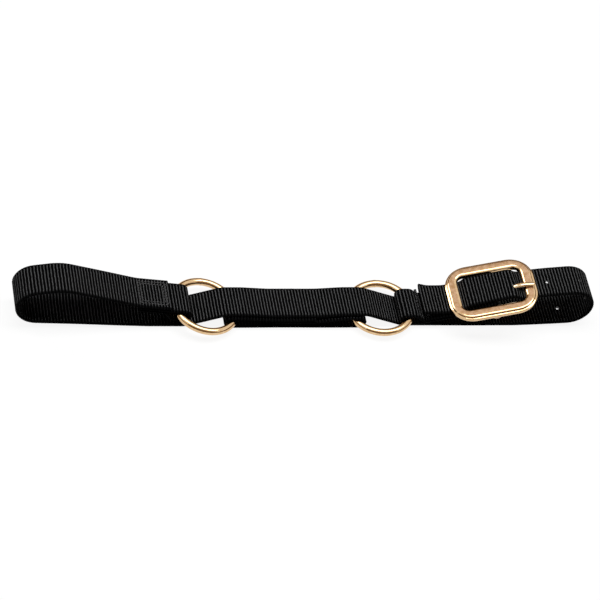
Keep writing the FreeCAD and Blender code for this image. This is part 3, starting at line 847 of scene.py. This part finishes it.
for number in range(1, hole_count + 1):
    step = tongue_step - round(number * hole_pitch * rib_samples / rib_pitch)
    middle = Vector((right_part[step][0], 0.0, right_part[step][1]))
    through = Vector((right_normals[step][0], 0.0, right_normals[step][1])) * webbing_thickness
    punches.append((middle - through, middle + through, hole_radius))
bore = [on_frame(along * mm, across * mm, up * mm) for along, across, up in tongue_hole_ends]
punches.append((bore[0], bore[1], tongue_hole_radius))
cut_out(right_half, cutters("billet_punches", punches))
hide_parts("main_strap_left_loop", "main_strap_middle")
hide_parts("main_strap_right_loop")
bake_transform(left_half)
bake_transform(right_half)
sew("left_seam_thread", left_part, 0.0, left_seam, "left_loop", upper_side(left_part, seam_inset))


# ---------------------------------------------------------------- chape
# The short strip that carries the buckle: folded round the right ring, laid double under the
# billet and folded round the buckle's centre bar, with a slot there for the tongue's eye.
chape_row_places = (2.0 * mm, 5.0 * mm)      # from each of its ends
chape_row_margin = 1.0 * mm                  # from a row's last stitch to the strap's edge
knot_margin = 0.8 * mm
tongue_slot_width = 5.6 * mm
tongue_slot_start = 4.4 * mm                 # from the bar's axis, under the bar
tongue_slot_length = 13.2 * mm


def chape_row(run):
    """A row of stitches straight across the chape."""
    return (run, -webbing_width / 2 + seam_inset), (run, webbing_width / 2 - chape_row_margin)


chape_line = strap_path("buckle_chape")
chape_middle = middle_of("buckle_chape")
chape_length = length_of(chape_line)
near_rows = [chape_row(place) for place in chape_row_places]
far_rows = [chape_row(chape_length - place) for place in chape_row_places]
chape = weave("buckle_chape_webbing", chape_line, chape_middle, 47, near_rows + far_rows)
slot_place = Matrix.Translation(Vector(joint("tongue_lift")["pos_m"])) \
    @ Matrix.Rotation(-buckle_tilt, 4, "Y") \
    @ Matrix.Translation((tongue_slot_length / 2 - tongue_slot_start, 0.0, 0.0)) \
    @ Matrix.Diagonal((tongue_slot_length, tongue_slot_width, tongue_slot_length, 1.0))
slot_tool = bmesh.new()
bmesh.ops.create_cube(slot_tool, size=1.0, matrix=slot_place)
cut_out(chape, punch_of("tongue_slot_punch", slot_tool))
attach(chape, "right_loop")
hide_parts("buckle_chape")
for name, rows in (("chape_near_thread", near_rows), ("chape_far_thread", far_rows)):
    run = rows[-1][0][0]
    sew(name, chape_line, chape_middle, rows, "right_loop", upper_side(chape_line, run),
        [(run, webbing_width / 2 - knot_margin)])


# ---------------------------------------------------------------- buckle frame
# A cast frame plated in pale gold.  Its face is brushed to a satin, the window's inner edge is
# bevelled and polished, and round the outside a lower polished rim stands out like a step.
frame_length = 60.6 * mm
frame_height = 46.4 * mm
bar_width = 8.2 * mm
frame_thickness = 3.3 * mm
outer_corner = 16.3 * mm
window_corner = 5.0 * mm
edge_round = 0.35 * mm       # of the outer edge and the underside's edges
edge_round_steps = 4
edge_facet = 0.3             # of that rounding, where it is a plain broken edge
rim_width = 1.3 * mm         # of the lower rim that stands out round the face
rim_foot = 0.2 * mm          # where the rim turns flat before the step
rim_foot_drop = 0.15 * mm
step_drop = 0.9 * mm         # from the face's polished border down to the rim
step_run = 0.56 * mm
step_corner = 0.05 * mm
step_corner_run = 0.04 * mm
step_corner_rise = 0.06 * mm
border_width = 0.9 * mm      # of that border
border_slope = math.radians(20)
face_corner = 0.1 * mm
face_corner_drop = 0.02 * mm
face_crown = 0.06 * mm
face_shares = (0.0, 0.06, 0.2, 0.5, 0.8, 0.94, 1.0)
bevel_width = 1.5 * mm       # round the window
bevel_corner = 0.12 * mm
bevel_corner_drop = 0.15 * mm
wall_draft = 0.6 * mm        # by which the window narrows from its face to its underside
lug_radius = 3.6 * mm
lug_width = 4.6 * mm
lug_steps = 14
corner_steps = 16
straight_steps = 10
satin_tone = (0.65, 0.42, 0.26, 1.0)
satin_tone_deep = (0.40, 0.23, 0.11, 1.0)


def rounded_loop(half_length, half_height, corner):
    """Points round a rectangle with rounded corners, the same count for every size."""
    points = []
    for quarter, (forth, over) in enumerate(((1, 1), (-1, 1), (-1, -1), (1, -1))):
        along, across = forth * (half_length - corner), over * (half_height - corner)
        for step in range(corner_steps + 1):
            turn = math.pi / 2 * (quarter + step / corner_steps)
            points.append((along + corner * math.cos(turn), across + corner * math.sin(turn)))
    spread = []
    for number, point in enumerate(points):
        after = points[(number + 1) % len(points)]
        spread.append(point)
        if (number + 1) % (corner_steps + 1) == 0:
            for step in range(1, straight_steps):
                share = step / straight_steps
                spread.append((point[0] + (after[0] - point[0]) * share,
                               point[1] + (after[1] - point[1]) * share))
    return spread


def frame_profile():
    """The frame's cross-section: distance in from the outside, height, and whether polished."""
    low = -frame_thickness
    slope = math.tan(border_slope)
    border_low = -border_width * slope
    rim_high = border_low - step_drop
    rim_low = rim_high - rim_width * slope
    facet = edge_round * edge_facet
    points = [(edge_round, low, 1), (facet, low + facet, 1), (0.0, low + edge_round, 1)]
    meets = edge_round * (1 - math.sin(border_slope))
    arc_height = rim_low + meets * slope - edge_round * math.cos(border_slope)
    for step in range(edge_round_steps + 1):
        turn = math.pi - (math.pi / 2 - border_slope) * step / edge_round_steps
        points.append((edge_round + edge_round * math.cos(turn),
                       arc_height + edge_round * math.sin(turn), 1))
    step_top = rim_width + step_run
    points += [(rim_width - rim_foot, rim_high - rim_foot_drop * slope, 1),
               (rim_width - step_corner, rim_high, 1),
               (rim_width + step_corner_run, rim_high + step_corner_rise, 1),
               (step_top - step_corner_run, border_low - step_corner_rise, 1),
               (step_top + step_corner, border_low, 1)]
    face_start = step_top + border_width
    face_end = bar_width - bevel_width
    points.append((face_start - face_corner, -face_corner_drop, 1))
    for share in face_shares:
        points.append((face_start + (face_end - face_start) * share,
                       face_crown * math.sin(math.pi * share), 0))
    bevel_low = -bevel_width * slope
    points += [(face_end + face_corner, -face_corner_drop, 1),
               (bar_width - bevel_corner, bevel_low, 1),
               (bar_width, bevel_low - bevel_corner_drop, 1)]
    underside = bar_width + wall_draft
    points += [(underside, low + edge_round, 1),
               (underside - facet, low + facet, 1),
               (underside - edge_round, low, 1)]
    return points


satin_gold = plated_metal("satin_gold", satin_tone, satin_tone_deep,
                          smooth=0.26, rough=0.40, dents=0.10)


def make_lug(side, vertices, faces, polished):
    """A rounded lug under one long rail, round an end of the dropped bar."""
    inner = frame_height / 2 - bar_width
    first = len(vertices)
    slices = ((0.0, edge_round), (edge_round, 0.0), (lug_width - edge_round, 0.0), (lug_width, edge_round))
    for out, inset in slices:
        radius = lug_radius - inset
        outline = [(radius, -frame_thickness / 2)]
        for step in range(lug_steps + 1):
            turn = math.pi * step / lug_steps
            outline.append((radius * math.cos(turn), -bar_depth - radius * math.sin(turn)))
        outline.append((-radius, -frame_thickness / 2))
        vertices.extend(on_frame(along, side * (inner + out), up) for along, up in outline)
    around = len(outline)
    last = len(vertices) - around
    lug = skin(first, len(slices), around)
    lug += [tuple(range(first, first + around)), tuple(reversed(range(last, last + around)))]
    faces.extend(lug if side > 0 else (face[::-1] for face in lug))
    polished.extend([0] * len(lug))


def make_frame():
    """The whole casting: its section swept round the window, and the two lugs."""
    vertices, polished = [], []
    profile = frame_profile()
    for inward, height, _ in profile:
        corner = outer_corner + (window_corner - outer_corner) * inward / bar_width
        for along, across in rounded_loop(frame_length / 2 - inward, frame_height / 2 - inward, corner):
            vertices.append(on_frame(along, across, height))
    around = len(vertices) // len(profile)
    faces = [face[::-1] for face in skin(0, len(profile), around, closed=True)]
    for ring in range(len(profile)):
        shines = profile[ring][2] or profile[(ring + 1) % len(profile)][2]
        polished.extend([shines] * around)
    for side in (-1, 1):
        make_lug(side, vertices, faces, polished)
    body = link_mesh("buckle_frame_casting", vertices, faces, satin_gold)
    body.data.materials.append(polished_gold)
    body.data.polygons.foreach_set("material_index", polished)
    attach(body, "right_loop")
    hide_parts("buckle_frame")


make_frame()


# ---------------------------------------------------------------- centre bar and tongue
# A turned bar pressed into the frame across its window, and a tongue that is bent up from its eye
# on that bar.  Both are plated in gold, the tongue a little paler than the frame.
tongue_tone = (0.80, 0.62, 0.40, 1.0)
tongue_tone_deep = (0.68, 0.49, 0.28, 1.0)
tongue_gold = plated_metal("tongue_gold", tongue_tone, tongue_tone_deep,
                           smooth=0.12, rough=0.22, dents=0.03)

for node, finish in (("buckle_centre_bar", polished_gold), ("buckle_tongue", tongue_gold)):
    metal = frame["nodes"][node]
    metal.data.materials.clear()
    metal.data.materials.append(finish)
